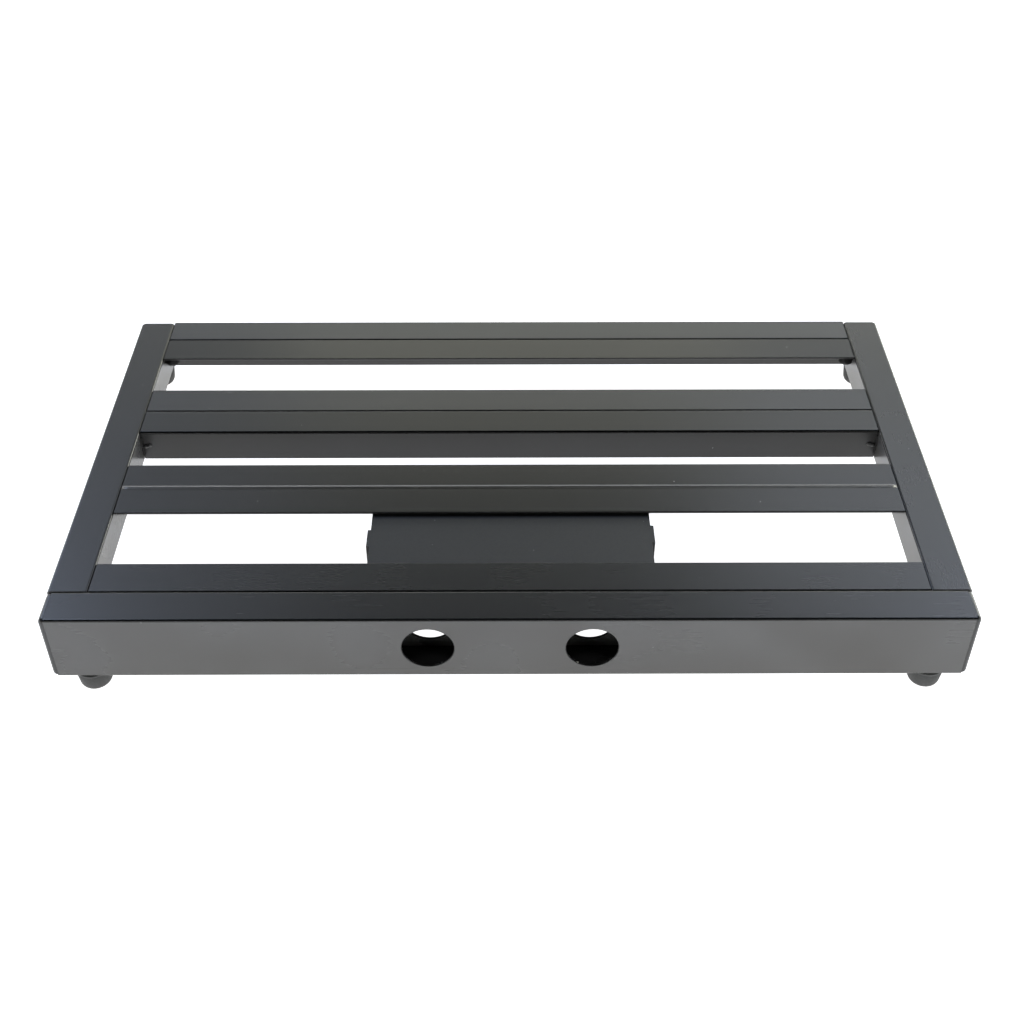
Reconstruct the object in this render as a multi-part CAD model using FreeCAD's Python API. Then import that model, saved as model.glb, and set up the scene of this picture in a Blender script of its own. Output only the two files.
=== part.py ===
import FreeCAD, Part
import math
import os

from FreeCAD import Placement, Rotation, Vector

# Aluminium pedalboard: a welded box-tube frame with four slatted rows, on rubber feet.
#
# The frame is drawn flat, in board axes: X to the right, Y from the tall cable-side rail
# towards the player, Z up out of the slats, with the slats' top face at Z = 0. The finished
# pieces are then tipped onto their feet, because the cable-side rail is taller than the rest
# and the slats slope down towards the player. In the part's own frame +Z is up, the rubber
# soles stand on Z = 0 and the origin is under the middle of the board.

# ---------------------------------------------------------------- driving dimensions (mm)
BOARD_WIDTH = 565.0          # over the rear rail's end caps
BOARD_DEPTH = 323.0          # over the side rails' end caps

TUBE_WIDTH = 25.0            # every tube, seen from above
FRAME_HEIGHT = 24.0          # side rails, front rail and the two cross tubes
REAR_HEIGHT = 48.5           # the tall cable-side rail
WALL = 1.5
TUBE_CORNER = 1.5            # outside corner radius of the drawn tube
WELD_GAP = 0.3               # hairline left where one piece butts on another

PAIR_WIDTH = 50.0            # a tube and the flat strip beside it, as wide as the tape it takes
STRIP_THICKNESS = 1.5
STRIP_CORNER = 0.4
SLAT_3_NEAR = 98.3           # near edges of the slat pairs, from the cable-side face
SLAT_2_NEAR = 183.5

CABLE_HOLE_RADIUS = 16.0
CABLE_HOLE_SPACING = 100.0
HOLE_EDGE = 0.4              # the holes' edges are broken before painting

CAP_HEAD = 3.2               # the part of an end cap that shows
CAP_CORNER = 3.0
CAP_EDGE = 2.8               # softened outer edge of the cap's face
CAP_PLUG = 12.0              # the part that is pressed into the tube
CAP_PLUG_WALL = 1.6
CAP_FIT = 0.1

FOOT_INSET = 21.5            # foot centre to the end of the rail it is on
FOOT_HEIGHT = 14.5
FOOT_TOP_RADIUS = 11.7
FOOT_SOLE_RADIUS = 9.8
FOOT_SOLE_EDGE = 1.2
FOOT_RECESS_RADIUS = 6.0     # the screw head and washer sit up inside the foot
FOOT_RECESS_DEPTH = 9.5
SCREW_RADIUS = 2.5
SCREW_CLEARANCE = 0.1        # between a thread and the hole around it
SCREW_HEAD_RADIUS = 4.6
SCREW_HEAD_HEIGHT = 3.0
SCREW_DRIVE_RADIUS = 1.6
SCREW_DRIVE_DEPTH = 1.6
WASHER_RADIUS = 5.5
WASHER_THICKNESS = 1.0
INSERT_RADIUS = 3.5          # threaded insert in the rail's lower wall
INSERT_LENGTH = 11.0
INSERT_FLANGE_RADIUS = 4.8
INSERT_FLANGE = 0.8

BRACKET_WIDTH = 180.0
BRACKET_CENTRE = 0.7         # the bracket hangs a little to the right of the board's middle
BRACKET_TOP = -2.5           # plate's top face, below the slats' top face
BRACKET_SHEET = 1.5
BRACKET_LIP = 9.0            # turned-down stiffening edge
BRACKET_NEAR = 29.0
BRACKET_FAR = 119.0
BRACKET_BEND = 1.2           # inside radius of the plate's bends

ARM_SHEET = 2.0
ARM_WIDTH = 16.0
ARM_BOTTOM = -44.0
ARM_LIP = 18.0
ARM_BEND = 2.0
ARM_LEFT_NEAR = 67.8         # the two arms are not quite opposite one another
ARM_RIGHT_NEAR = 71.6

STUD_RADIUS = 2.0
STUD_SPREAD = 75.0           # from the bracket's middle
STUD_END = -11.5
RING_RADIUS = 4.5            # spacers and washers on the studs
NUT_RADIUS = 4.04            # to the corners of a 7 mm hexagon
NUT_HEIGHT = 3.2

BEAD_LEG = 3.0               # weld fillet, along each of the two faces it joins
BEAD_CROWN = 0.6             # how far the fillet bulges, as a part of its leg
CORNER_BEAD_TOP = -3.5       # upright corner welds stop short of both faces
STITCH_LENGTH = 28.0
STITCH_COUNT = 5
END_STITCH = 14.0

# ---------------------------------------------------------------- worked-out places
X_AXIS = Vector(1, 0, 0)
Y_AXIS = Vector(0, 1, 0)
Z_AXIS = Vector(0, 0, 1)

HALF_WIDTH = BOARD_WIDTH / 2
SIDE_INNER = HALF_WIDTH - TUBE_WIDTH
RAIL_HALF = HALF_WIDTH - CAP_HEAD
RAIL_FAR = BOARD_DEPTH - CAP_HEAD
SLAT_HALF = SIDE_INNER - WELD_GAP
STRIP_WIDTH = PAIR_WIDTH - TUBE_WIDTH - WELD_GAP
FRONT_NEAR = BOARD_DEPTH - TUBE_WIDTH
SLAT_3_TUBE = SLAT_3_NEAR + PAIR_WIDTH - TUBE_WIDTH
STRIP_NEAR = {
    "slat_1_strip": FRONT_NEAR - WELD_GAP - STRIP_WIDTH,
    "slat_2_strip": SLAT_2_NEAR + TUBE_WIDTH + WELD_GAP,
    "slat_3_strip": SLAT_3_NEAR,
    "slat_4_strip": TUBE_WIDTH + WELD_GAP,
}
REAR_FOOT = Vector(HALF_WIDTH - FOOT_INSET, TUBE_WIDTH / 2, -REAR_HEIGHT)
FRONT_FOOT = Vector(HALF_WIDTH - TUBE_WIDTH / 2, BOARD_DEPTH - FOOT_INSET, -FRAME_HEIGHT)
FEET = {
    "foot_rear_left": Vector(-REAR_FOOT.x, REAR_FOOT.y, REAR_FOOT.z),
    "foot_rear_right": REAR_FOOT,
    "foot_front_left": Vector(-FRONT_FOOT.x, FRONT_FOOT.y, FRONT_FOOT.z),
    "foot_front_right": FRONT_FOOT,
}
STUDS = [
    Vector(BRACKET_CENTRE + side * STUD_SPREAD, near + STRIP_WIDTH / 2, -STRIP_THICKNESS)
    for side in (-1, 1)
    for near in (STRIP_NEAR["slat_3_strip"], STRIP_NEAR["slat_4_strip"])
]

# All the feet are the same height, so the board tips by the difference between its rails.
TILT = math.atan2(REAR_HEIGHT - FRAME_HEIGHT, FRONT_FOOT.y - REAR_FOOT.y)
TIP = Placement(Vector(0, 0, 0), Rotation(X_AXIS, -math.degrees(TILT)))
REAR_SOLE = Vector(0, REAR_FOOT.y, REAR_FOOT.z - FOOT_HEIGHT)


# ---------------------------------------------------------------- simple shapes
def block(low, high):
    """A box between two corners."""
    size = high - low
    return Part.makeBox(size.x, size.y, size.z, low)


def edges_along(solid, direction):
    """The straight edges that run along one direction."""
    found = []
    for edge in solid.Edges:
        if not isinstance(edge.Curve, Part.Line):
            continue
        if abs(edge.tangentAt(edge.FirstParameter).dot(direction)) > 0.999:
            found.append(edge)
    return found


def bar(low, high, direction, radius):
    """A solid bar whose four long edges are rounded."""
    solid = block(low, high)
    return solid.makeFillet(radius, edges_along(solid, direction))


def tube(low, high, direction):
    """A rectangular tube between two corners, open at both ends."""
    inset = Vector(WALL, WALL, WALL) - direction * WALL
    return bar(low, high, direction, TUBE_CORNER).cut(block(low + inset, high - inset))


def rod(radius, centre, bottom, top):
    """An upright cylinder between two heights."""
    return Part.makeCylinder(radius, top - bottom, Vector(centre.x, centre.y, bottom))


def ring(outer, inner, centre, bottom, top):
    """A washer or sleeve between two heights."""
    return rod(outer, centre, bottom, top).cut(rod(inner, centre, bottom, top))


def hexagon(radius, centre, bottom, height):
    """An upright hexagonal prism; the radius is to its corners."""
    corners = []
    for turn in range(7):
        angle = turn * math.pi / 3
        offset = Vector(radius * math.cos(angle), radius * math.sin(angle), 0)
        corners.append(Vector(centre.x, centre.y, bottom) + offset)
    return Part.Face(Part.makePolygon(corners)).extrude(Z_AXIS * height)


def bead(middle, along, length, leg_a, leg_b):
    """A weld fillet in a corner, crowned between the two faces it joins."""
    corner = middle - along * (length / 2)
    end_a = corner + leg_a * BEAD_LEG
    end_b = corner + leg_b * BEAD_LEG
    crown = corner + (leg_a + leg_b) * (BEAD_LEG * BEAD_CROWN)
    outline = Part.Wire([
        Part.makeLine(corner, end_a),
        Part.Arc(end_a, crown, end_b).toShape(),
        Part.makeLine(end_b, corner),
    ])
    return Part.Face(outline).extrude(along * length)


def folded_strip(corners, thickness, inside_radius, width):
    """Sheet metal folded square at each middle corner of its outer face, drawn out by width.

    The corners run so that the metal lies on the left of the path, looking against width.
    """
    runs = [(after - before).normalize() for before, after in zip(corners, corners[1:])]
    across = Vector(width).normalize()
    inward = [across.cross(run) * thickness for run in runs]
    inner = [corners[0] + inward[0]]
    for index in range(1, len(corners) - 1):
        inner.append(corners[index] + inward[index - 1] + inward[index])
    inner.append(corners[-1] + inward[-1])
    outline = Part.makePolygon(corners + inner[::-1] + corners[:1])
    solid = Part.Face(outline).extrude(width)
    for points, radius in ((corners, inside_radius + thickness), (inner, inside_radius)):
        bends = [
            edge for edge in edges_along(solid, across)
            if any(edge.distToShape(Part.Vertex(point))[0] < 0.01 for point in points[1:-1])
        ]
        solid = solid.makeFillet(radius, bends)
    return solid


def both_sides(make):
    """The pieces that a function makes for the left (-1) and the right (+1) of the board."""
    return make(-1) + make(1)


# ---------------------------------------------------------------- frame tubes and strips
def rear_rail():
    """The tall rail, with two cable holes through both its walls."""
    rail = tube(Vector(-RAIL_HALF, 0, -REAR_HEIGHT), Vector(RAIL_HALF, TUBE_WIDTH, 0), X_AXIS)
    for side in (-1, 1):
        centre = Vector(side * CABLE_HOLE_SPACING / 2, 0, -REAR_HEIGHT / 2)
        rail = rail.cut(Part.makeCylinder(CABLE_HOLE_RADIUS, TUBE_WIDTH, centre, Y_AXIS))
    rims = [
        edge for edge in rail.Edges
        if isinstance(edge.Curve, Part.Circle)
        and abs(edge.Curve.Radius - CABLE_HOLE_RADIUS) < 0.01
        and min(abs(edge.BoundBox.YMin), abs(edge.BoundBox.YMax - TUBE_WIDTH)) < 0.01
    ]
    rail = rail.makeFillet(HOLE_EDGE, rims)
    for name in ("foot_rear_left", "foot_rear_right"):
        rail = rail.cut(insert_hole(FEET[name]))
    return rail


def side_rail(side):
    """A side rail, butted on the back of the rear rail and open at its far end."""
    low = Vector(SIDE_INNER, TUBE_WIDTH + WELD_GAP, -FRAME_HEIGHT)
    rail = tube(low, Vector(HALF_WIDTH, RAIL_FAR, 0), Y_AXIS)
    if side < 0:
        rail = rail.mirror(Vector(0, 0, 0), X_AXIS)
    foot = FEET["foot_front_left"] if side < 0 else FEET["foot_front_right"]
    return rail.cut(insert_hole(foot))


def cross_tube(near):
    """A tube between the side rails."""
    low = Vector(-SLAT_HALF, near, -FRAME_HEIGHT)
    return tube(low, Vector(SLAT_HALF, near + TUBE_WIDTH, 0), X_AXIS)


def strip(near):
    """The flat strip that makes a tube up to a full slat."""
    low = Vector(-SLAT_HALF, near, -STRIP_THICKNESS)
    return bar(low, Vector(SLAT_HALF, near + STRIP_WIDTH, 0), X_AXIS, STRIP_CORNER)


def insert_hole(foot):
    """The hole in a rail's lower wall for a threaded insert."""
    return rod(INSERT_RADIUS, foot, foot.z, foot.z + WALL)


# ---------------------------------------------------------------- end caps
def end_cap(height):
    """A moulded cap for a tube's end: a head that shows and a hollow plug inside the tube.

    It is drawn with its head's inner face at X = 0, facing +X, top at Z = 0.
    """
    head = bar(Vector(0, 0, -height), Vector(CAP_HEAD, TUBE_WIDTH, 0), X_AXIS, CAP_CORNER)
    front = [edge for edge in head.Edges if edge.BoundBox.XMin > CAP_HEAD - 0.01]
    head = head.makeFillet(CAP_EDGE, front)
    inset = WALL + CAP_FIT
    low = Vector(-CAP_PLUG, inset, inset - height)
    high = Vector(0, TUBE_WIDTH - inset, -inset)
    hollow = Vector(0, CAP_PLUG_WALL, CAP_PLUG_WALL)
    plug = block(low, high).cut(block(low + hollow, high - hollow))
    return head.fuse(plug).removeSplitter()


def rear_cap(side):
    """The cap on one end of the rear rail."""
    cap = end_cap(REAR_HEIGHT)
    cap.translate(Vector(RAIL_HALF, 0, 0))
    return cap if side > 0 else cap.mirror(Vector(0, 0, 0), X_AXIS)


def side_cap(side):
    """The cap on the far end of a side rail."""
    cap = end_cap(FRAME_HEIGHT)
    cap.rotate(Vector(0, 0, 0), Z_AXIS, 90)
    cap.translate(Vector(HALF_WIDTH, RAIL_FAR, 0))
    return cap if side > 0 else cap.mirror(Vector(0, 0, 0), X_AXIS)


# ---------------------------------------------------------------- welds
def upright_bead(side, face, facing, height):
    """A weld up the inside corner of a side rail and the face of a tube that meets it."""
    length = height + 2 * CORNER_BEAD_TOP
    middle = Vector(side * SIDE_INNER, face, -height / 2)
    return bead(middle, Z_AXIS, length, X_AXIS * -side, Y_AXIS * facing)


def rear_corner_welds(side):
    """Inside and underneath, where a side rail meets the rear rail."""
    under = Vector(side * (SIDE_INNER + TUBE_WIDTH / 2), TUBE_WIDTH, -FRAME_HEIGHT)
    return [
        upright_bead(side, TUBE_WIDTH, 1, FRAME_HEIGHT),
        bead(under, X_AXIS, TUBE_WIDTH + 2 * CORNER_BEAD_TOP, Y_AXIS, Z_AXIS * -1),
    ]


def front_corner_welds(side):
    """Inside, where the front rail meets a side rail."""
    return [upright_bead(side, FRONT_NEAR, -1, FRAME_HEIGHT)]


def cross_tube_welds(near):
    """Both faces of a cross tube, at both its ends."""
    beads = []
    for side in (-1, 1):
        beads.append(upright_bead(side, near, -1, FRAME_HEIGHT))
        beads.append(upright_bead(side, near + TUBE_WIDTH, 1, FRAME_HEIGHT))
    return beads


def strip_welds(tube_face, towards_strip, strip_near):
    """Stitches under a strip: along the tube beside it and at each side rail."""
    beads = []
    pitch = 2 * SLAT_HALF / STITCH_COUNT
    for index in range(STITCH_COUNT):
        middle = Vector(-SLAT_HALF + pitch * (index + 0.5), tube_face, -STRIP_THICKNESS)
        beads.append(bead(middle, X_AXIS, STITCH_LENGTH, Y_AXIS * towards_strip, Z_AXIS * -1))
    for side in (-1, 1):
        middle = Vector(side * SIDE_INNER, strip_near + STRIP_WIDTH / 2, -STRIP_THICKNESS)
        beads.append(bead(middle, Y_AXIS, END_STITCH, X_AXIS * -side, Z_AXIS * -1))
    return beads


def bracket_welds():
    """A short bead inside each arm, under the bracket plate."""
    beads = []
    for side, near in ((-1, ARM_LEFT_NEAR), (1, ARM_RIGHT_NEAR)):
        x = BRACKET_CENTRE + side * BRACKET_WIDTH / 2
        middle = Vector(x, near + ARM_WIDTH / 2, BRACKET_TOP - BRACKET_SHEET)
        beads.append(bead(middle, Y_AXIS, END_STITCH, X_AXIS * -side, Z_AXIS * -1))
    return beads


# ---------------------------------------------------------------- power supply bracket
def bracket_plate():
    """The plate under slats 3 and 4, its near and far edges turned down."""
    left = BRACKET_CENTRE - BRACKET_WIDTH / 2
    lip_end = BRACKET_TOP - BRACKET_LIP
    outer = [
        Vector(left, BRACKET_FAR, lip_end),
        Vector(left, BRACKET_FAR, BRACKET_TOP),
        Vector(left, BRACKET_NEAR, BRACKET_TOP),
        Vector(left, BRACKET_NEAR, lip_end),
    ]
    plate = folded_strip(outer, BRACKET_SHEET, BRACKET_BEND, X_AXIS * BRACKET_WIDTH)
    for stud in STUDS:
        hole = rod(STUD_RADIUS + SCREW_CLEARANCE, stud, BRACKET_TOP - BRACKET_SHEET, BRACKET_TOP)
        plate = plate.cut(hole)
    return plate


def bracket_arm(side):
    """A hooked arm, welded to the plate's end, that holds a power supply up against the plate."""
    near = ARM_LEFT_NEAR if side < 0 else ARM_RIGHT_NEAR
    outside = BRACKET_WIDTH / 2 + ARM_SHEET
    outer = [
        Vector(outside, 0, BRACKET_TOP),
        Vector(outside, 0, ARM_BOTTOM),
        Vector(outside - ARM_SHEET - ARM_LIP, 0, ARM_BOTTOM),
    ]
    arm = folded_strip(outer, ARM_SHEET, ARM_BEND, Y_AXIS * ARM_WIDTH)
    if side < 0:
        arm = arm.mirror(Vector(0, 0, 0), X_AXIS)
    arm.translate(Vector(BRACKET_CENTRE, near, 0))
    return arm


def bracket_studs():
    """Studs welded under the strips."""
    return [rod(STUD_RADIUS, stud, STUD_END, stud.z) for stud in STUDS]


def bracket_spacers():
    """Sleeves that keep the plate clear of the strips' welds."""
    inner = STUD_RADIUS + SCREW_CLEARANCE
    return [ring(RING_RADIUS, inner, stud, BRACKET_TOP, stud.z) for stud in STUDS]


def bracket_washers():
    """Washers under the plate."""
    inner = STUD_RADIUS + SCREW_CLEARANCE
    top = BRACKET_TOP - BRACKET_SHEET
    return [ring(RING_RADIUS, inner, stud, top - WASHER_THICKNESS, top) for stud in STUDS]


def bracket_nuts():
    """Hexagon nuts that hold the plate up."""
    nuts = []
    top = BRACKET_TOP - BRACKET_SHEET - WASHER_THICKNESS
    bottom = top - NUT_HEIGHT
    for stud in STUDS:
        nut = hexagon(NUT_RADIUS, stud, bottom, NUT_HEIGHT)
        nuts.append(nut.cut(rod(STUD_RADIUS + SCREW_CLEARANCE, stud, bottom, top)))
    return nuts


# ---------------------------------------------------------------- feet and their hardware
def rubber_foot(foot, floor):
    """A tapered rubber foot, recessed for its screw, with its sole cut level with the floor."""
    sole = -FOOT_HEIGHT - FOOT_SOLE_RADIUS * math.tan(TILT)
    profile = Part.makePolygon([
        Vector(0, 0, 0), Vector(FOOT_TOP_RADIUS, 0, 0),
        Vector(FOOT_SOLE_RADIUS, 0, sole), Vector(0, 0, sole), Vector(0, 0, 0),
    ])
    rubber = Part.Face(profile).revolve(Vector(0, 0, 0), Z_AXIS, 360)
    rubber.translate(foot)
    rubber = rubber.cut(floor)
    rim = [
        edge for edge in rubber.Edges
        if edge.CenterOfMass.z < foot.z - FOOT_HEIGHT / 2 and edge.Length > FOOT_SOLE_RADIUS
        and not isinstance(edge.Curve, Part.Line)
    ]
    rubber = rubber.makeFillet(FOOT_SOLE_EDGE, rim)
    below = foot.z - 2 * FOOT_HEIGHT
    seat = foot.z - FOOT_HEIGHT + FOOT_RECESS_DEPTH
    rubber = rubber.cut(rod(FOOT_RECESS_RADIUS, foot, below, seat))
    rubber = rubber.cut(rod(SCREW_RADIUS + SCREW_CLEARANCE, foot, below, foot.z))
    flange = rod(INSERT_FLANGE_RADIUS + SCREW_CLEARANCE, foot, foot.z - INSERT_FLANGE, foot.z)
    return rubber.cut(flange)


def foot_washers():
    """Steel washers that spread each screw's load on the rubber."""
    washers = []
    for foot in FEET.values():
        seat = foot.z - FOOT_HEIGHT + FOOT_RECESS_DEPTH
        inner = SCREW_RADIUS + SCREW_CLEARANCE
        washers.append(ring(WASHER_RADIUS, inner, foot, seat - WASHER_THICKNESS, seat))
    return washers


def foot_screws():
    """Socket-drive pan-head screws, up through the feet into the inserts."""
    screws = []
    for foot in FEET.values():
        under_head = foot.z - FOOT_HEIGHT + FOOT_RECESS_DEPTH - WASHER_THICKNESS
        below_head = under_head - SCREW_HEAD_HEIGHT
        head = rod(SCREW_HEAD_RADIUS, foot, below_head, under_head)
        rim = [edge for edge in head.Edges if edge.BoundBox.ZMax < under_head - 0.01]
        head = head.makeFillet(SCREW_HEAD_HEIGHT / 2, rim)
        head = head.cut(hexagon(SCREW_DRIVE_RADIUS, foot, below_head, SCREW_DRIVE_DEPTH))
        shank = rod(SCREW_RADIUS, foot, under_head, foot.z + INSERT_LENGTH - WALL)
        screws.append(head.fuse(shank).removeSplitter())
    return screws


def foot_inserts():
    """Threaded inserts, set from below into the rails' lower walls."""
    inserts = []
    for foot in FEET.values():
        body = rod(INSERT_RADIUS, foot, foot.z, foot.z + INSERT_LENGTH)
        flange = rod(INSERT_FLANGE_RADIUS, foot, foot.z - INSERT_FLANGE, foot.z)
        bore = rod(SCREW_RADIUS + SCREW_CLEARANCE, foot, foot.z - INSERT_FLANGE,
                   foot.z + INSERT_LENGTH)
        inserts.append(body.fuse(flange).cut(bore))
    return inserts


# ---------------------------------------------------------------- assembly
def floor_slab():
    """A slab whose top face is the floor, in board axes: the middles of the soles are on it."""
    reach = BOARD_WIDTH
    slab = block(Vector(-reach, -reach, -reach), Vector(reach, reach, 0))
    slab.rotate(Vector(0, 0, 0), X_AXIS, math.degrees(TILT))
    slab.translate(REAR_SOLE)
    return slab


def build():
    """Every piece by its node name, in board axes."""
    floor = floor_slab()
    nodes = {
        "rear_rail": rear_rail(),
        "side_rail_left": side_rail(-1),
        "side_rail_right": side_rail(1),
        "front_rail": cross_tube(FRONT_NEAR),
        "slat_2_tube": cross_tube(SLAT_2_NEAR),
        "slat_3_tube": cross_tube(SLAT_3_TUBE),
        "rear_cap_left": rear_cap(-1),
        "rear_cap_right": rear_cap(1),
        "side_cap_left": side_cap(-1),
        "side_cap_right": side_cap(1),
        "welds_rear_corners": both_sides(rear_corner_welds),
        "welds_front_corners": both_sides(front_corner_welds),
        "welds_slat_2_tube": cross_tube_welds(SLAT_2_NEAR),
        "welds_slat_3_tube": cross_tube_welds(SLAT_3_TUBE),
        "welds_slat_1_strip": strip_welds(FRONT_NEAR, -1, STRIP_NEAR["slat_1_strip"]),
        "welds_slat_2_strip": strip_welds(SLAT_2_NEAR + TUBE_WIDTH, 1, STRIP_NEAR["slat_2_strip"]),
        "welds_slat_3_strip": strip_welds(SLAT_3_TUBE, -1, STRIP_NEAR["slat_3_strip"]),
        "welds_slat_4_strip": strip_welds(TUBE_WIDTH, 1, STRIP_NEAR["slat_4_strip"]),
        "bracket_plate": bracket_plate(),
        "bracket_arm_left": bracket_arm(-1),
        "bracket_arm_right": bracket_arm(1),
        "welds_bracket": bracket_welds(),
        "bracket_studs": bracket_studs(),
        "bracket_spacers": bracket_spacers(),
        "bracket_washers": bracket_washers(),
        "bracket_nuts": bracket_nuts(),
        "foot_inserts": foot_inserts(),
        "foot_washers": foot_washers(),
        "foot_screws": foot_screws(),
    }
    for name, near in STRIP_NEAR.items():
        nodes[name] = strip(near)
    for name, foot in FEET.items():
        nodes[name] = rubber_foot(foot, floor)
    return nodes


def onto_the_floor(shapes):
    """The placement from board axes to the part's own frame: soles at Z = 0, depth centred."""
    tipped = Part.makeCompound(shapes)
    tipped.Placement = TIP
    box = tipped.optimalBoundingBox(False, False)
    middle = (box.YMin + box.YMax) / 2
    floor = TIP.multVec(REAR_SOLE).z
    return Placement(Vector(0, -middle, -floor), Rotation()).multiply(TIP)


def main():
    os.makedirs("parts", exist_ok=True)
    shapes = {}
    for name, made in build().items():
        shapes[name] = Part.makeCompound(made) if isinstance(made, list) else made
    placement = onto_the_floor(list(shapes.values()))
    for name, shape in shapes.items():
        shape.Placement = placement.multiply(shape.Placement)
        shape.exportStep("parts/" + name + ".step")
    print("tilt", round(math.degrees(TILT), 3), "degrees; board axes to part:", placement.Base)


main()
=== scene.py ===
import math

import bmesh
import bpy
from mathutils import Matrix, Vector, noise


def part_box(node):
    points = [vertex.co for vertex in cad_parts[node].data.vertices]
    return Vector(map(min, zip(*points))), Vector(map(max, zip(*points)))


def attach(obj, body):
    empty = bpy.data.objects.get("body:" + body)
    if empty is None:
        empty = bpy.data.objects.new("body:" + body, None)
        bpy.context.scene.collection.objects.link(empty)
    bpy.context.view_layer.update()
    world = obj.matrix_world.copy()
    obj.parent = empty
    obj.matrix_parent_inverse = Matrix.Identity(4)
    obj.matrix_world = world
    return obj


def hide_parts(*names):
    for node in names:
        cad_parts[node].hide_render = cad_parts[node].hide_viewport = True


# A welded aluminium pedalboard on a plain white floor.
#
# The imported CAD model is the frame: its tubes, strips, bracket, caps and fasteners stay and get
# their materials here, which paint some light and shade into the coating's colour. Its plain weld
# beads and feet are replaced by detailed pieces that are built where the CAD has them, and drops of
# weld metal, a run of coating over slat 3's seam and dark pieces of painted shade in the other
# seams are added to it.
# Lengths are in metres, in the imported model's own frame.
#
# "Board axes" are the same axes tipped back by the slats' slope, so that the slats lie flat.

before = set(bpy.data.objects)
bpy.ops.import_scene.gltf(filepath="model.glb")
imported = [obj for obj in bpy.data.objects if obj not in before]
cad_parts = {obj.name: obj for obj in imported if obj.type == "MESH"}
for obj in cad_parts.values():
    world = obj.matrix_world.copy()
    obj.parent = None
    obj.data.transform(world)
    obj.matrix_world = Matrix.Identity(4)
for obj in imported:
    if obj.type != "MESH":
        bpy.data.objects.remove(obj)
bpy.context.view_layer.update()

MM = 0.001


# ---------------------------------------------------------------- board axes
def slats_slope():
    """The slats' tilt, from the same corner of the rearmost and the foremost strip."""
    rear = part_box("slat_4_strip")[1]
    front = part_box("slat_1_strip")[1]
    return math.atan2(rear.z - front.z, front.y - rear.y)


BOARD = Matrix.Rotation(-slats_slope(), 4, "X")
FLAT = BOARD.inverted()


def corners(points):
    """The lowest and highest corners of a list of points."""
    low = Vector([min(point[axis] for point in points) for axis in range(3)])
    high = Vector([max(point[axis] for point in points) for axis in range(3)])
    return low, high


def flat_box(node):
    """A CAD node's lowest and highest corners in board axes."""
    return corners([FLAT @ vertex.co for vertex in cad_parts[node].data.vertices])


# ---------------------------------------------------------------- camera
CAMERA_LENS = 48.92
CAMERA_DISTANCE = 0.904
CAMERA_ELEVATION = 40.92     # above the slats' own plane
CAMERA_TURN = 0.17
CAMERA_ROLL = -0.02
CAMERA_AIM_X = 1.5 * MM
CAMERA_CLIP = (0.01, 60.0)


def make_camera():
    """Looks down at the board from behind its tall rail, aimed at slat 3's near edge."""
    low, high = flat_box("slat_3_strip")
    aim = Vector((CAMERA_AIM_X, low.y, high.z))
    elevation, turn = math.radians(CAMERA_ELEVATION), math.radians(CAMERA_TURN)
    level = math.cos(elevation)
    view = Vector((math.sin(turn) * level, math.cos(turn) * level, -math.sin(elevation)))
    data = bpy.data.cameras.new("camera")
    data.lens = CAMERA_LENS
    data.clip_start, data.clip_end = CAMERA_CLIP
    camera = bpy.data.objects.new("camera", data)
    bpy.context.scene.collection.objects.link(camera)
    place = Matrix.Translation(aim - view * CAMERA_DISTANCE)
    turned = view.to_track_quat("-Z", "Y").to_matrix().to_4x4()
    roll = Matrix.Rotation(math.radians(CAMERA_ROLL), 4, "Z")
    camera.matrix_world = BOARD @ place @ turned @ roll
    bpy.context.scene.camera = camera


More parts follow.
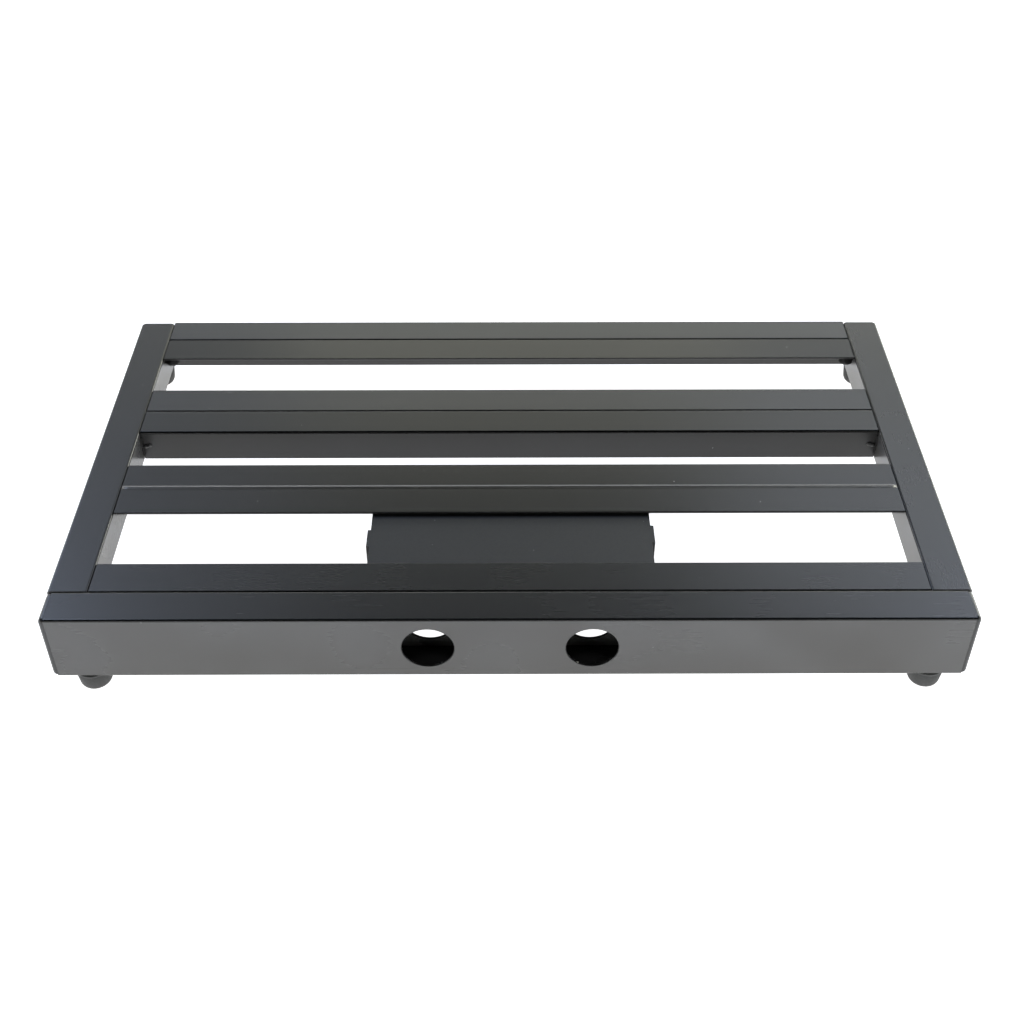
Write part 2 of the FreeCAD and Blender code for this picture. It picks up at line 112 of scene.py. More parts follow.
# ---------------------------------------------------------------- node building
class Finish:
    """A material, and short calls that add nodes to it. Patterns follow the object's own axes."""

    def __init__(self, name, **constants):
        self.material = bpy.data.materials.new(name)
        self.material.use_nodes = True
        self.nodes = self.material.node_tree.nodes
        self.links = self.material.node_tree.links
        self.shader = self.nodes["Principled BSDF"]
        for socket, value in constants.items():
            self.shader.inputs[socket.replace("_", " ")].default_value = value
        self.place = self.nodes.new("ShaderNodeTexCoord").outputs["Object"]

    def feed(self, socket, value):
        """Links a node's output to a socket, or sets a plain value."""
        if isinstance(value, bpy.types.NodeSocket):
            self.links.new(value, socket)
        else:
            socket.default_value = value

    def noise(self, scale, detail=2.0, rough=0.5, stretch=(1, 1, 1), shift=0.0):
        """Cloudy noise, 0 to 1, with that many features in a metre."""
        spread = self.nodes.new("ShaderNodeMapping")
        spread.inputs["Scale"].default_value = stretch
        spread.inputs["Location"].default_value = (shift, shift, shift)
        self.feed(spread.inputs["Vector"], self.place)
        cloud = self.nodes.new("ShaderNodeTexNoise")
        self.feed(cloud.inputs["Vector"], spread.outputs["Vector"])
        cloud.inputs["Scale"].default_value = scale
        cloud.inputs["Detail"].default_value = detail
        cloud.inputs["Roughness"].default_value = rough
        return cloud.outputs["Fac"]

    def remap(self, value, low, high, to_low=0.0, to_high=1.0):
        """Stretches low..high to to_low..to_high, and clamps it there."""
        node = self.nodes.new("ShaderNodeMapRange")
        for socket, number in zip(node.inputs, (value, low, high, to_low, to_high)):
            self.feed(socket, number)
        return node.outputs["Result"]

    def calc(self, operation, first, second=0.0):
        """Arithmetic on one or two values."""
        node = self.nodes.new("ShaderNodeMath")
        node.operation = operation
        self.feed(node.inputs[0], first)
        self.feed(node.inputs[1], second)
        return node.outputs["Value"]

    def mix(self, share, first, second):
        """A colour between two colours."""
        node = self.nodes.new("ShaderNodeMix")
        node.data_type = "RGBA"
        self.feed(node.inputs[0], share)
        self.feed(node.inputs[6], first)
        self.feed(node.inputs[7], second)
        return node.outputs[2]

    def bump(self, height, depth, under=None):
        """Raises the surface by up to depth metres, on top of another bump."""
        node = self.nodes.new("ShaderNodeBump")
        node.inputs["Distance"].default_value = depth
        self.feed(node.inputs["Height"], height)
        if under is not None:
            self.feed(node.inputs["Normal"], under)
        return node.outputs["Normal"]

    def finish(self, colour, roughness, normal):
        """Feeds the shader."""
        self.feed(self.shader.inputs["Base Color"], colour)
        self.feed(self.shader.inputs["Roughness"], roughness)
        self.feed(self.shader.inputs["Normal"], normal)
        return self.material


def grey(level, warmth=0.0):
    """A grey as a colour, a little warmer or cooler."""
    return (level * (1 + warmth), level, level * (1 - warmth), 1.0)


# ---------------------------------------------------------------- materials
# A tone is the grey of a coating's base colour. Each coated piece has its tone on top, its tone
# on upright faces and its roughness, all chosen so that the piece is as bright under the lights
# below as it is in the photo.
# The coating is one black. Each piece's own tones, and upright faces lighter than tops, are painted light
# and shade for how the light falls on it.
FRAME_COATS_AND_LIGHT = {
    "rear_rail": (0.020, 0.079, 0.272),
    "side_rail_left": (0.018, 0.086, 0.268),
    "side_rail_right": (0.018, 0.086, 0.273),
    "front_rail": (0.044, 0.044, 0.280),
    "slat_2_tube": (0.006, 0.020, 0.286),
    "slat_3_tube": (0.008, 0.020, 0.269),
    "slat_1_strip": (0.006, 0.020, 0.250),
    "slat_2_strip": (0.038, 0.038, 0.270),
    "slat_3_strip": (0.008, 0.020, 0.269),
    "slat_4_strip": (0.018, 0.020, 0.273),
}
CAP_TONE = 0.018
BRACKET_TONE = 0.009
RUBBER_TONE = 0.045
# The coat of the dark pieces in the seams, which are painted shade.
SEAM_SHADE_COAT = (0.008, 0.008, 0.3)
WELD_COATS = {               # tone, the share by which patches darken it, and shine; weld_paint's dark tone is painted shade in the corners where the frame's beads sit
    "weld_paint": (0.010, 0.4, 0.2),
    "weld_steel": (0.012, 0.5, 0.3),
    "weld_spatter": (0.10, 0.3, 0.4),
}
BARE = 0.30                  # bright aluminium where the coating is rubbed through
DUST = 0.30
CLOUD = 0.06                 # how much a coating's tone drifts from place to place
SMUDGED = 0.8                # a smudge's tone, as a part of the face's
WEAR_REACH = 0.7 * MM        # how near an edge the coating thins
CORNER_REACH = 0.9 * MM      # how far a rounded corner's painted shade and glossier coating run onto the flats
THIN_REACH = 0.02 * MM       # the same on a piece without such corners
CORNER_ROUGH = 0.15
CORNER_SHADE_TONE = 0.4            # painted shade on rounded corners, as a part of the flats' tone
BEVEL_SAMPLES = 6


def rounded_normal(finish, reach):
    """The direction that a surface faces when its edges are rounded by reach."""
    rounded = finish.nodes.new("ShaderNodeBevel")
    rounded.samples = BEVEL_SAMPLES
    rounded.inputs["Radius"].default_value = reach
    return rounded.outputs["Normal"]


def split_axes(finish, vector):
    """The three parts of a direction."""
    split = finish.nodes.new("ShaderNodeSeparateXYZ")
    finish.feed(split.inputs[0], vector)
    return split.outputs


def worn_edges(finish, spots):
    """1 on the edges, in patches, and 0 on the flats."""
    plain = finish.nodes.new("ShaderNodeNewGeometry")
    facing = finish.nodes.new("ShaderNodeVectorMath")
    facing.operation = "DOT_PRODUCT"
    finish.feed(facing.inputs[0], rounded_normal(finish, WEAR_REACH))
    finish.feed(facing.inputs[1], plain.outputs["True Normal"])
    edge = finish.remap(facing.outputs["Value"], 0.97, 0.80)
    return finish.calc("MULTIPLY", edge, finish.remap(spots, 0.52, 0.66))


def dust_specks(finish, cell, radius):
    """1 in small scattered specks, about one to a cube cell wide."""
    grid = finish.nodes.new("ShaderNodeTexVoronoi")
    grid.inputs["Scale"].default_value = 1 / cell
    finish.feed(grid.inputs["Vector"], finish.place)
    size = finish.nodes.new("ShaderNodeSeparateColor")
    finish.feed(size.inputs[0], grid.outputs["Color"])
    reach = finish.remap(size.outputs[0], 0.35, 1.0, 0.0, radius / cell)
    ragged = finish.remap(finish.noise(2600), 0.3, 0.7, 0.7, 1.6)
    distance = finish.calc("MULTIPLY", grid.outputs["Distance"], ragged)
    return finish.calc("LESS_THAN", distance, reach)


def upright_share(finish):
    """1 on the upright faces of the board, and 0 on those that look up or down."""
    geometry = finish.nodes.new("ShaderNodeNewGeometry")
    up = split_axes(finish, geometry.outputs["Normal"])["Z"]
    return finish.remap(finish.calc("ABSOLUTE", up), 0.3, 0.8, 1.0, 0.0)


def rounded_corners(finish, reach):
    """1 on the tubes' rounded corners, and 0 on their flats, which lie along the board's axes."""
    levelled = finish.nodes.new("ShaderNodeVectorRotate")
    levelled.rotation_type = "X_AXIS"
    levelled.inputs["Angle"].default_value = slats_slope()
    finish.feed(levelled.inputs["Vector"], rounded_normal(finish, reach))
    squarest = 0.0
    for part in split_axes(finish, levelled.outputs["Vector"]):
        squarest = finish.calc("MAXIMUM", finish.calc("ABSOLUTE", part), squarest)
    return finish.remap(squarest, 0.998, 0.97)


def clouded(finish, cloud, tone):
    """A grey that drifts a little from place to place."""
    return finish.mix(finish.remap(cloud, 0.3, 0.7), grey(tone * (1 - CLOUD)), grey(tone * (1 + CLOUD)))


def added_up(finish, start, shares):
    """start plus each pattern times its amount."""
    total = start
    for pattern, amount in shares:
        total = finish.calc("ADD", total, finish.calc("MULTIPLY", pattern, amount))
    return total


def frame_paint(name, along, tone, lit_side_tone, base_rough, corner_reach=CORNER_REACH):
    """Satin black coating on drawn aluminium, a little smudged, with painted light and shade: its tones
    on top and on upright faces, and its darker rounded corners, stand in for how light falls. along is
    the tube's axis.
    """
    drawn = tuple(0.03 if axis == along else 1.0 for axis in range(3))
    paint = Finish(name, IOR=1.5)
    cloud = paint.noise(9, 3)
    streaks = paint.noise(380, 3, 0.6, stretch=drawn)
    specks = dust_specks(paint, 11 * MM, 0.38 * MM)
    wear = worn_edges(paint, paint.noise(160, 3, 0.6, shift=1.7))
    upright = upright_share(paint)
    smudges = paint.remap(paint.noise(17, 1.2, 0.4, shift=3.1), 0.35, 0.75)
    smudges = paint.calc("MULTIPLY", smudges, upright)
    corner = rounded_corners(paint, corner_reach)

    # Upright faces get the lighter side tone: painted light.
    side = paint.mix(smudges, clouded(paint, cloud, lit_side_tone), grey(lit_side_tone * SMUDGED, 0.03))
    colour = paint.mix(upright, clouded(paint, cloud, tone), side)
    # Rounded corners get a darker tone: painted shade, the dark line that a glossy corner shows.
    colour = paint.mix(corner, colour, grey(tone * CORNER_SHADE_TONE))
    colour = paint.mix(paint.calc("MULTIPLY", wear, 0.05), colour, grey(BARE))
    colour = paint.mix(paint.calc("MULTIPLY", specks, 0.8), colour, grey(DUST))

    rough = paint.calc("ADD", paint.remap(cloud, 0.3, 0.7, -0.004, 0.004), base_rough)
    rough = paint.calc("ADD", rough, paint.remap(streaks, 0.3, 0.7, -0.001, 0.001))
    rough = added_up(paint, rough, ((smudges, 0.015), (corner, CORNER_ROUGH - base_rough), (specks, 0.4)))

    normal = paint.bump(paint.noise(2200, 2), 0.001 * MM)
    normal = paint.bump(streaks, 0.0004 * MM, normal)
    return paint.finish(colour, rough, normal)


def moulded_plastic(name, tone):
    """Black plastic with a mould's even fine texture, polished a little at its edges."""
    plastic = Finish(name, IOR=1.48)
    cloud = plastic.noise(22, 3)
    pits = plastic.noise(3200, 3, 0.7)
    wear = worn_edges(plastic, plastic.noise(140, 3, 0.6))
    colour = plastic.mix(plastic.remap(cloud, 0.3, 0.7), grey(tone * 0.9), grey(tone * 1.1))
    colour = plastic.mix(plastic.remap(pits, 0.55, 0.75, 0.0, 0.25), colour, grey(tone * 2.2))
    rough = added_up(plastic, plastic.remap(pits, 0.3, 0.7, 0.33, 0.28), ((wear, -0.06),))
    return plastic.finish(colour, rough, plastic.bump(pits, 0.004 * MM))


def bracket_paint(name, tone):
    """Powder coat on folded steel, with a light orange-peel surface and some dust."""
    paint = Finish(name, IOR=1.5)
    cloud = paint.noise(12, 3)
    peel = paint.noise(520, 2, 0.4)
    grain = paint.noise(2600, 2)
    specks = dust_specks(paint, 8 * MM, 0.34 * MM)
    wear = worn_edges(paint, paint.noise(190, 3, 0.6))
    colour = paint.mix(paint.remap(cloud, 0.3, 0.7), grey(tone * 0.92, 0.01), grey(tone * 1.08, 0.01))
    colour = paint.mix(paint.calc("MULTIPLY", wear, 0.08), colour, grey(BARE * 0.7))
    colour = paint.mix(paint.calc("MULTIPLY", specks, 0.8), colour, grey(DUST))
    rough = added_up(paint, paint.remap(peel, 0.3, 0.7, 0.42, 0.5), ((specks, 0.4),))
    normal = paint.bump(peel, 0.006 * MM)
    normal = paint.bump(grain, 0.002 * MM, normal)
    return paint.finish(colour, rough, normal)


def weld_coat(name, tone, patch_darkening, shine):
    """The coating over weld metal, rougher, and darker in random patches by the given share. On the
    frame's beads and lumps its dark tone is painted shade for the corners they sit in.
    """
    coat = Finish(name, IOR=1.5, Specular_IOR_Level=shine)
    scale = coat.noise(700, 4, 0.65)
    patches = coat.noise(180, 3, 0.6)
    colour = coat.mix(coat.remap(patches, 0.35, 0.65), grey(tone * (1 - patch_darkening)), grey(tone * 1.15))
    rough = coat.remap(scale, 0.3, 0.7, 0.42, 0.62)
    normal = coat.bump(scale, 0.03 * MM)
    normal = coat.bump(patches, 0.05 * MM, normal)
    return coat.finish(colour, rough, normal)


def zinc_plate(name):
    """Zinc-plated steel: pale metal with a faint yellow-blue bloom and fine scratches."""
    zinc = Finish(name, Metallic=1.0)
    bloom = zinc.noise(260, 3, 0.6)
    scratches = zinc.noise(900, 4, 0.7, stretch=(1.0, 0.15, 1.0))
    colour = zinc.mix(zinc.remap(bloom, 0.35, 0.65), (0.50, 0.49, 0.45, 1.0), (0.42, 0.45, 0.49, 1.0))
    rough = zinc.remap(scratches, 0.3, 0.7, 0.26, 0.44)
    return zinc.finish(colour, rough, zinc.bump(scratches, 0.01 * MM))


def nylon(name):
    """Black nylon with faint turning marks."""
    soft = Finish(name, IOR=1.53)
    rings = soft.noise(1500, 2, stretch=(0.1, 0.1, 1.0))
    cloud = soft.noise(240, 3)
    colour = soft.mix(soft.remap(cloud, 0.3, 0.7), grey(0.026), grey(0.036))
    return soft.finish(colour, soft.remap(rings, 0.3, 0.7, 0.36, 0.5), soft.bump(rings, 0.015 * MM))


def foot_rubber(name, tone):
    """Grey-black rubber, scuffed by the floor, with the mould's fine scoring round it."""
    rubber = Finish(name, IOR=1.5)
    scoring = rubber.noise(900, 3, 0.7, stretch=(0.35, 0.35, 1.6))
    scuffs = rubber.noise(420, 4, 0.7, stretch=(1.0, 1.0, 0.4), shift=2.3)
    grain = rubber.noise(3000, 2)
    colour = rubber.mix(rubber.remap(scoring, 0.35, 0.65), grey(tone * 0.85), grey(tone * 1.15))
    colour = rubber.mix(rubber.remap(scuffs, 0.52, 0.7, 0.0, 0.6), colour, grey(tone * 1.9))
    rough = rubber.remap(scuffs, 0.4, 0.7, 0.55, 0.8)
    normal = rubber.bump(scoring, 0.05 * MM)
    normal = rubber.bump(grain, 0.01 * MM, normal)
    return rubber.finish(colour, rough, normal)


def dress(node, material):
    """Gives a CAD node its material."""
    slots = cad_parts[node].data.materials
    for index in range(len(slots)):
        slots[index] = material


# ---------------------------------------------------------------- mesh building
def new_piece(name, build, node, material):
    """A mesh made in board axes by build(mesh), standing for a CAD node, if one is named."""
    made = bmesh.new()
    build(made)
    bmesh.ops.recalc_face_normals(made, faces=made.faces)
    made.transform(BOARD)
    mesh = bpy.data.meshes.new(name)
    made.to_mesh(mesh)
    made.free()
    mesh.materials.append(material)
    piece = bpy.data.objects.new(name, mesh)
    bpy.context.scene.collection.objects.link(piece)
    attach(piece, "root")
    if node:
        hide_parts(node)


def solids_of(node):
    """The points of each separate solid of a CAD node, in board axes."""
    source = bmesh.new()
    source.from_mesh(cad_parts[node].data)
    bmesh.ops.remove_doubles(source, verts=source.verts, dist=0.001 * MM)
    seen, solids = set(), []
    for start in source.verts:
        if start in seen:
            continue
        seen.add(start)
        group = [start]
        for vertex in group:
            for edge in vertex.link_edges:
                other = edge.other_vert(vertex)
                if other not in seen:
                    seen.add(other)
                    group.append(other)
        solids.append([FLAT @ vertex.co for vertex in group])
    source.free()
    return solids


def skin(mesh, rings):
    """Joins rings of points with quads."""
    rows = [[mesh.verts.new(point) for point in ring] for ring in rings]
    count = len(rows[0])
    for row, after in zip(rows, rows[1:]):
        for index in range(count):
            follow = (index + 1) % count
            face = mesh.faces.new((row[index], row[follow], after[follow], after[index]))
            face.smooth = True
    return rows


def capped_skin(mesh, rings):
    """Joins rings of points with quads and closes both ends."""
    rows = skin(mesh, rings)
    mesh.faces.new(rows[0])
    mesh.faces.new(rows[-1])


# ---------------------------------------------------------------- weld beads
BEAD_RING = 0.3 * MM         # between the rings of points along a bead
BEAD_ARC = 12                # steps across a bead
BEAD_WAIST = 0.15            # how far the crown lies inside a quarter circle, as a part of the leg
RIPPLE_PITCH = 1.7 * MM
RIPPLE_DEPTH = 0.16 * MM
RIPPLE_BOW = 0.55            # how far a ripple's middle runs ahead of its ends, in pitches
BEAD_END = 2.2 * MM          # the rounded start and end of a bead
BEAD_TIP = 0.12              # a bead's size at its very tips, as a part of its full size
BEAD_SHIFT = 0.37            # how much later each bead's ripples start than the last one's, in pitches
SLIM_BEAD = 0.5              # slat 2's end welds, as a part of their room in the CAD model
DROP_HEIGHT = 0.5            # the drops beside each of them, as a part of its height
DROP_RISE = 0.05             # how much higher the next one along sits
DROP_OFFSETS = (2.6 * MM, 5.2 * MM)
DROP_RADII = (1.9 * MM, 1.5 * MM, 1.5 * MM)
DROP_WOBBLE = (0.22, 1.6)    # how far a drop's surface wanders, in its radius, and how finely
DROP_PITS = (0.08, 5.0)
LUMP_INSET = 5.0 * MM        # the dark lump under each end of slat 1's strip: weld metal, and painted shade for that corner
LUMP_BELOW = 4.4 * MM
LUMP_RADII = (5.0 * MM, 3.6 * MM, 3.6 * MM)


def bead_place(points):
    """Where a plain bead lies: its joint's start, its run, and its two legs."""
    low, high = corners(points)
    size = high - low
    along = max(range(3), key=lambda axis: size[axis])
    across = [axis for axis in range(3) if axis != along]
    tips = []
    for first in (low, high):
        for second in (low, high):
            tip = low.copy()
            tip[across[0]], tip[across[1]] = first[across[0]], second[across[1]]
            gap = min((point - tip).length for point in points)
            tips.append((gap, tip))
    empty = max(tips, key=lambda pair: pair[0])[1]
    joint, legs = low.copy(), []
    for axis in across:
        joint[axis] = low[axis] + high[axis] - empty[axis]
        leg = Vector((0, 0, 0))
        leg[axis] = empty[axis] - joint[axis]
        legs.append(leg)
    run = Vector((0, 0, 0))
    run[along] = size[along]
    return joint, run, legs


def bead_ring(joint, run, legs, distance, shift):
    """One ring of a rippled bead: a point on the joint's line, then the crown from leg to leg."""
    length = run.length
    from_end = min(distance, length - distance)
    swell = math.sqrt(max(0.0, 1 - max(0.0, 1 - from_end / BEAD_END) ** 2))
    centre = joint + run * (distance / length)
    ring = [centre]
    for step in range(BEAD_ARC + 1):
        angle = math.pi / 2 * step / BEAD_ARC
        rise = math.sin(2 * angle)
        phase = (distance / RIPPLE_PITCH + RIPPLE_BOW * rise + shift) % 1.0
        ripple = RIPPLE_DEPTH * (2 * phase - 1) ** 2 * (0.35 + 0.65 * rise)
        reach = max(BEAD_TIP, swell) * (1 - BEAD_WAIST * rise ** 2 - ripple / legs[0].length)
        ring.append(centre + (legs[0] * math.cos(angle) + legs[1] * math.sin(angle)) * reach)
    return ring


def weld_drop(mesh, centre, radii, seed):
    """An irregular drop of frozen weld metal. Each seed gives another shape."""
    made = bmesh.ops.create_icosphere(mesh, subdivisions=4, radius=1.0)["verts"]
    for vertex in made:
        wobble = 1 + DROP_WOBBLE[0] * noise.noise(vertex.co * DROP_WOBBLE[1] + Vector((seed, 0, 0)))
        wobble += DROP_PITS[0] * noise.noise(vertex.co * DROP_PITS[1] + Vector((0, seed, 0)))
        vertex.co = centre + Vector([vertex.co[axis] * wobble * radii[axis] for axis in range(3)])
        for face in vertex.link_faces:
            face.smooth = True


def end_weld_drops(node):
    """Small drops of weld metal frozen on the tube beside each of its upright end beads."""
    def build(mesh):
        for index, points in enumerate(solids_of(node)):
            joint, run, legs = bead_place(points)
            sideways = max(legs, key=lambda leg: abs(leg.x)).normalized()
            for turn, offset in enumerate(DROP_OFFSETS):
                lift = run * (DROP_HEIGHT + DROP_RISE * turn)
                weld_drop(mesh, joint + lift + sideways * offset, DROP_RADII, 2.3 * index + 1.1 * turn)
    return build


def end_lumps(node):
    """A dark lump of weld metal under each end of a strip, at its near edge, and painted shade for the
    dark corner there.
    """
    def build(mesh):
        low, high = flat_box(node)
        for index, x in enumerate((low.x + LUMP_INSET, high.x - LUMP_INSET)):
            centre = Vector((x, low.y + LUMP_RADII[1], high.z - LUMP_BELOW))
            weld_drop(mesh, centre, LUMP_RADII, 4.1 + index)
    return build


def rippled_beads(node, size=1.0):
    """A CAD node's beads, laid as rippled weld metal. size is the part of their room they fill."""
    def build(mesh):
        for index, points in enumerate(solids_of(node)):
            joint, run, legs = bead_place(points)
            legs = [leg * size for leg in legs]
            steps = round(run.length / BEAD_RING)
            distances = [run.length * step / steps for step in range(steps + 1)]
            shift = BEAD_SHIFT * index
            capped_skin(mesh, [bead_ring(joint, run, legs, distance, shift) for distance in distances])
    return build


# ---------------------------------------------------------------- coating and painted shade in the seams
SEAM_STEP = 4.0 * MM         # between the sections along a seam
SEAM_WAVE = 30 * MM          # between its high and low stretches
BRIDGE_LAP = 1.0 * MM        # over the strip's edge
BRIDGE_REACH = 2.5 * MM      # over the tube's rounded corner
BRIDGE_FILM = 0.01 * MM
BRIDGE_DEEP = 0.8 * MM
BRIDGE_SAG = 0.08 * MM       # how far the coating sinks in between the two pieces
BRIDGE_UNEVEN = 0.10 * MM
BRIDGE_CREASE = (0.8 * MM, 1.15 * MM, 1.3 * MM, 2.1 * MM)   # its edges and floor, from the near edge
FILLER_TOP = 1.05 * MM       # below the slats' top face
FILLER_UNEVEN = 0.15 * MM
FILLER_UNDER = 1.35 * MM
FILLER_KEY = 0.3 * MM        # how far it reaches into the pieces on each side


def run_along(mesh, left, right, section_at):
    """A run of coating from left to right. section_at(x) gives its section there, as y and z."""
    count = round((right - left) / SEAM_STEP)
    rings = []
    for index in range(count + 1):
        x = left + (right - left) * index / count
        rings.append([Vector((x, y, z)) for y, z in section_at(x)])
    capped_skin(mesh, rings)


def unevenness(x, seed):
    """0 to about 1, waving along a seam."""
    return abs(noise.noise(Vector((x / SEAM_WAVE, seed, 0))))


def coating_bridge(mesh):
    """The coating that bridges the hairline between slat 3's strip and its tube."""
    strip, tube = flat_box("slat_3_strip"), flat_box("slat_3_tube")
    near, far, top = strip[1].y - BRIDGE_LAP, tube[0].y + BRIDGE_REACH, tube[1].z
    start, floor, rise, end = (near + offset for offset in BRIDGE_CREASE)

    def section_at(x):
        sag = BRIDGE_SAG + BRIDGE_UNEVEN * unevenness(x, 0)
        section = ((near, -BRIDGE_FILM), (start, -BRIDGE_FILM), (floor, sag), (rise, sag),
                   (end, -BRIDGE_FILM), (far, -BRIDGE_FILM), (far, BRIDGE_FILM),
                   (rise, BRIDGE_DEEP), (floor, BRIDGE_DEEP), (near, BRIDGE_FILM))
        return [(y, top - depth) for y, depth in section]

    run_along(mesh, tube[0].x, tube[1].x, section_at)


def seam_shade_filler(near_name, far_name):
    """A dark piece sunk in the hairline between a strip and the tube beside it: painted shade for the
    hairline's shadow.
    """
    def build(mesh):
        near_piece, far_piece = flat_box(near_name), flat_box(far_name)
        near, far = near_piece[1].y - FILLER_KEY, far_piece[0].y + FILLER_KEY
        top = near_piece[1].z

        def section_at(x):
            sunk = FILLER_TOP + FILLER_UNEVEN * unevenness(x, far / MM)
            section = ((near, sunk), (far, sunk), (far, FILLER_UNDER), (near, FILLER_UNDER))
            return [(y, top - depth) for y, depth in section]

        left, right = max(near_piece[0].x, far_piece[0].x), min(near_piece[1].x, far_piece[1].x)
        run_along(mesh, left, right, section_at)
    return build


# ---------------------------------------------------------------- feet
FOOT_TURNS = 96              # steps round a foot
FOOT_DEPTH = 14.5            # from its top to its sole, in the same mm as its section
FOOT_SECTION = (             # radius and depth, in mm, from the screw hole outwards and back
    (2.6, 0.8), (4.9, 0.8), (4.9, 0.0), (8.8, 0.0), (8.8, 1.7),           # flange seat and neck
    (11.1, 1.8), (11.4, 1.95), (11.5, 2.3),                               # upper rim
    (11.4, 3.1), (11.2, 3.2), (11.2, 3.4), (11.35, 3.5),                  # moulding line
    (10.3, 12.2), (10.1, 13.1), (9.7, 13.9), (9.2, 14.35), (8.6, 14.5),   # rounded sole
    (8.1, 14.5), (7.95, 14.15), (7.6, 14.15), (7.45, 14.5),               # groove in the sole
    (6.4, 14.5), (6.1, 14.35), (6.0, 14.1), (6.0, 5.0), (2.6, 5.0),       # screw recess
)


def moulded_foot(node):
    """A tapered rubber foot, its sole level with the floor although its axis leans."""
    def build(mesh):
        low, high = flat_box(node)
        middle = (low + high) / 2
        slope = math.tan(slats_slope())
        angles = [2 * math.pi * turn / FOOT_TURNS for turn in range(FOOT_TURNS)]
        rings = []
        for radius, depth in FOOT_SECTION:
            ring = []
            for angle in angles:
                x = middle.x + radius * MM * math.cos(angle)
                y = middle.y + radius * MM * math.sin(angle)
                drop = (high.z - y * slope) * depth / FOOT_DEPTH
                ring.append(Vector((x, y, high.z - drop)))
            rings.append(ring)
        rows = skin(mesh, rings + rings[:1])
        bmesh.ops.remove_doubles(mesh, verts=rows[0] + rows[-1], dist=0.001 * MM)
    return build


# ---------------------------------------------------------------- floor and light
FLOOR_HALF = 8.0
FLOOR_ALBEDO = 0.85
FLOOR_GLOW = 1.09
BACKDROP_RADIUS = 7.9
BACKDROP_HEIGHT = 2.0
BACKDROP_TURNS = 96
ROOM = 0.004                 # the dark studio round the lights
LIGHT_DISTANCE = 7.5
LIGHT_POWER = 4              # watts from each square metre of a light of brightness 1
COOL = (0.82, 0.97, 1.30)
FAINTLY_COOL = (0.92, 0.98, 1.08)
NEUTRAL = (0.97, 1.0, 0.95)
WARM = (0.99, 1.0, 0.86)
# Each light: the ends of its azimuth from +Y towards +X and of its elevation, in degrees, then
# its brightness and its tint.
LIGHTS = {
    "softbox_left": (-50, -30, 24, 40, 3.1, COOL),
    "softbox_left_top": (-50, -30, 40, 54, 6.4, COOL),
    "card_left": (-30, -12, 32, 40, 0.95, FAINTLY_COOL),
    "strip_left": (-26, -12, 18, 28, 0.95, NEUTRAL),
    "card_back": (-12, 12, 24, 32, 2.27, WARM),
    "strip_back": (12, 30, 14, 24, 2.53, WARM),
    "softbox_right": (12, 50, 32, 40, 2.67, FAINTLY_COOL),
    "softbox_right_top": (30, 50, 40, 50, 7.0, COOL),
    "strip_right": (30, 70, 4, 14, 7.83, WARM),
    "panel_front_left": (-165, -95, 2, 28, 1.0, NEUTRAL),
    "panel_front_right": (95, 165, 2, 28, 1.0, NEUTRAL),
}


def studio_sheet(name, points, faces, **constants):
    """A glowing white sheet of the studio. constants are more shader sockets."""
    mesh = bpy.data.meshes.new(name)
    mesh.from_pydata(points, [], faces)
    sheet = bpy.data.objects.new(name, mesh)
    bpy.context.scene.collection.objects.link(sheet)
    white = Finish(name + "_white", Base_Color=grey(FLOOR_ALBEDO), Emission_Color=grey(1.0),
                   Emission_Strength=FLOOR_GLOW, **constants)
    mesh.materials.append(white.material)


def make_floor():
    """A plain white table top, lit from below like a product light table."""
    reach = FLOOR_HALF
    points = [(-reach, -reach, 0), (reach, -reach, 0), (reach, reach, 0), (-reach, reach, 0)]
    studio_sheet("floor", points, [(0, 1, 2, 3)], Roughness=0.9, Specular_IOR_Level=0.1)


def make_backdrop():
    """A low white wall round the floor's edge."""
    points = []
    for turn in range(BACKDROP_TURNS):
        angle = 2 * math.pi * turn / BACKDROP_TURNS
        x, y = BACKDROP_RADIUS * math.cos(angle), BACKDROP_RADIUS * math.sin(angle)
        points += [(x, y, 0), (x, y, BACKDROP_HEIGHT)]
    total = len(points)
    faces = [(low, (low + 2) % total, (low + 3) % total, low + 1) for low in range(0, total, 2)]
    studio_sheet("backdrop", points, faces)


def soft_light(name, left, right, low, high, brightness, tint):
    """A flat soft light that fills a span of azimuth and elevation, facing the board."""
    azimuth, elevation = math.radians((left + right) / 2), math.radians((low + high) / 2)
    level = math.cos(elevation)
    away = Vector((math.sin(azimuth) * level, math.cos(azimuth) * level, math.sin(elevation)))
    data = bpy.data.lights.new(name, "AREA")
    data.shape = "RECTANGLE"
    data.size = 2 * LIGHT_DISTANCE * math.tan(math.radians(right - left) / 2) * level
    data.size_y = 2 * LIGHT_DISTANCE * math.tan(math.radians(high - low) / 2)
    data.energy = brightness * LIGHT_POWER * data.size * data.size_y
    data.color = tint
    light = bpy.data.objects.new(name, data)
    light.location = away * LIGHT_DISTANCE
    light.rotation_euler = away.to_track_quat("Z", "Y").to_euler()
    bpy.context.scene.collection.objects.link(light)


def make_room():
    """A dark studio, so that the lights and the white sheets alone shape the black coating."""
    world = bpy.data.worlds.new("studio")
    world.use_nodes = True
    bpy.context.scene.world = world
    background = world.node_tree.nodes["Background"]
    background.inputs["Color"].default_value = grey(1.0)
    background.inputs["Strength"].default_value = ROOM


# ---------------------------------------------------------------- the scene
def build_studio():
    """The camera, the white sheets and the lights."""
    make_camera()
    make_floor()
    make_backdrop()
    make_room()
    for name, span in LIGHTS.items():
        soft_light(name, *span)
    bpy.context.scene.view_settings.view_transform = "Standard"


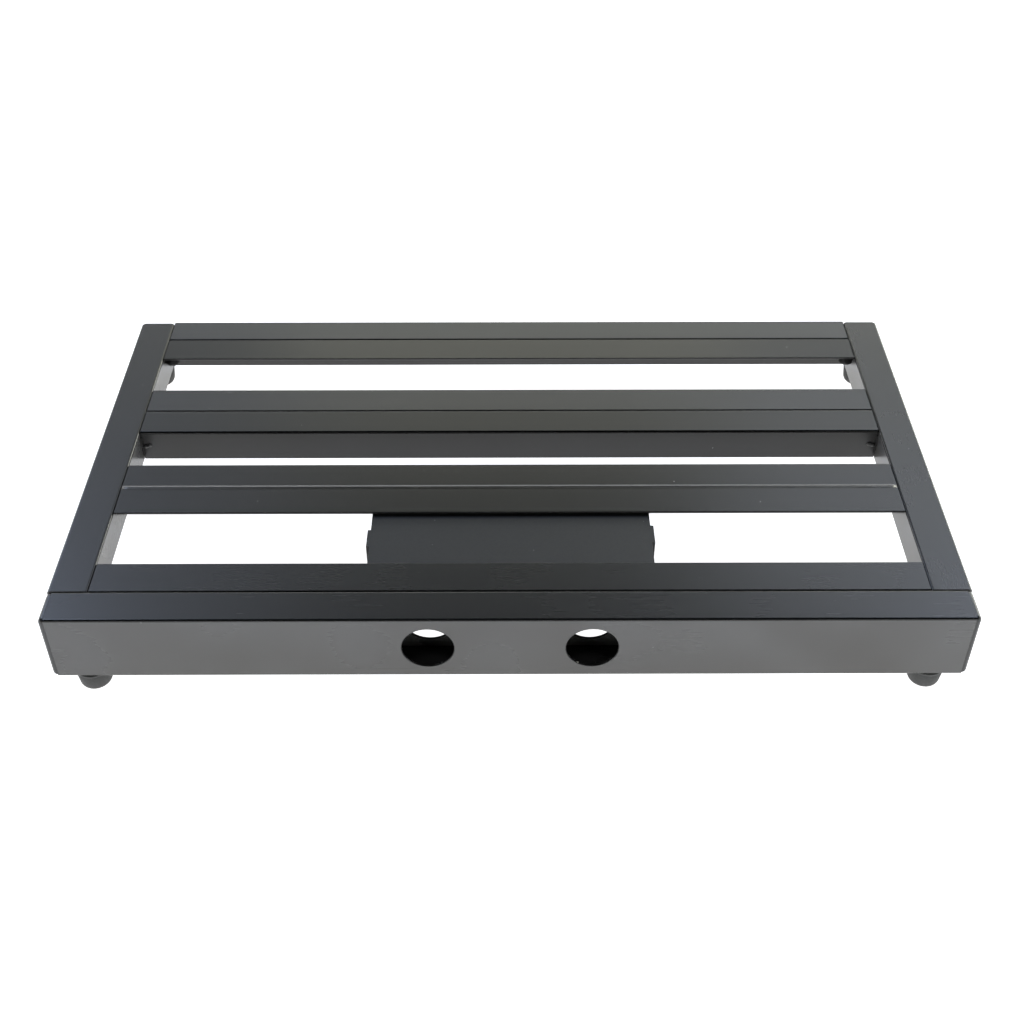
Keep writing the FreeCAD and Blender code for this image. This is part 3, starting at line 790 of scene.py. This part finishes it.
def dress_nodes():
    """Materials for the CAD nodes that stay."""
    for name, coat in FRAME_COATS_AND_LIGHT.items():
        along = 1 if name.startswith("side_rail") else 0
        dress(name, frame_paint("paint_" + name, along, *coat))
    plastic = moulded_plastic("cap_plastic", CAP_TONE)
    for name in ("rear_cap_left", "rear_cap_right", "side_cap_left", "side_cap_right"):
        dress(name, plastic)
    powder = bracket_paint("bracket_paint", BRACKET_TONE)
    for name in ("bracket_plate", "bracket_arm_left", "bracket_arm_right"):
        dress(name, powder)
    zinc = zinc_plate("fastener_steel")
    for name in ("bracket_studs", "bracket_washers", "bracket_nuts",
                 "foot_washers", "foot_screws", "foot_inserts"):
        dress(name, zinc)
    dress("bracket_spacers", nylon("spacer_nylon"))


def build_feet():
    """The four moulded feet."""
    rubber = foot_rubber("foot_rubber", RUBBER_TONE)
    for name in ("foot_rear_left", "foot_rear_right", "foot_front_left", "foot_front_right"):
        new_piece("rubber_" + name, moulded_foot(name), name, rubber)


def build_welds():
    """Rippled beads for every weld, then the drops and lumps beside some of them."""
    paint, steel, spatter = (weld_coat(name, *coat) for name, coat in WELD_COATS.items())
    for name in list(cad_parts):
        if name == "welds_bracket":
            new_piece("weld_beads_bracket", rippled_beads(name), name, steel)
        elif name.startswith("welds_"):
            beads = rippled_beads(name, SLIM_BEAD if name == "welds_slat_2_tube" else 1.0)
            new_piece(name.replace("welds", "weld_beads"), beads, name, paint)
    drops = end_weld_drops("welds_slat_2_tube")
    new_piece("weld_drops_slat_2_tube", drops, "welds_slat_2_tube", spatter)
    new_piece("weld_lumps_slat_1_strip", end_lumps("slat_1_strip"), None, paint)


def build_seams():
    """The bridged seam of slat 3, and the dark pieces of painted shade in the seams of the other slats.
    """
    paint = frame_paint("paint_bridge_slat_3", 0, *FRAME_COATS_AND_LIGHT["slat_3_tube"], corner_reach=THIN_REACH)
    new_piece("coating_bridge_slat_3", coating_bridge, None, paint)
    # Dark pieces sunk in the seams of slats 1, 2 and 4: painted shade for the seams' shadow.
    paint = frame_paint("paint_seam_shade", 0, *SEAM_SHADE_COAT, corner_reach=THIN_REACH)
    for slat, near, far in ((1, "slat_1_strip", "front_rail"), (2, "slat_2_strip", "slat_2_tube"),
                            (4, "rear_rail", "slat_4_strip")):
        new_piece(f"seam_filler_slat_{slat}", seam_shade_filler(near, far), None, paint)


build_studio()
dress_nodes()
build_feet()
build_welds()
build_seams()
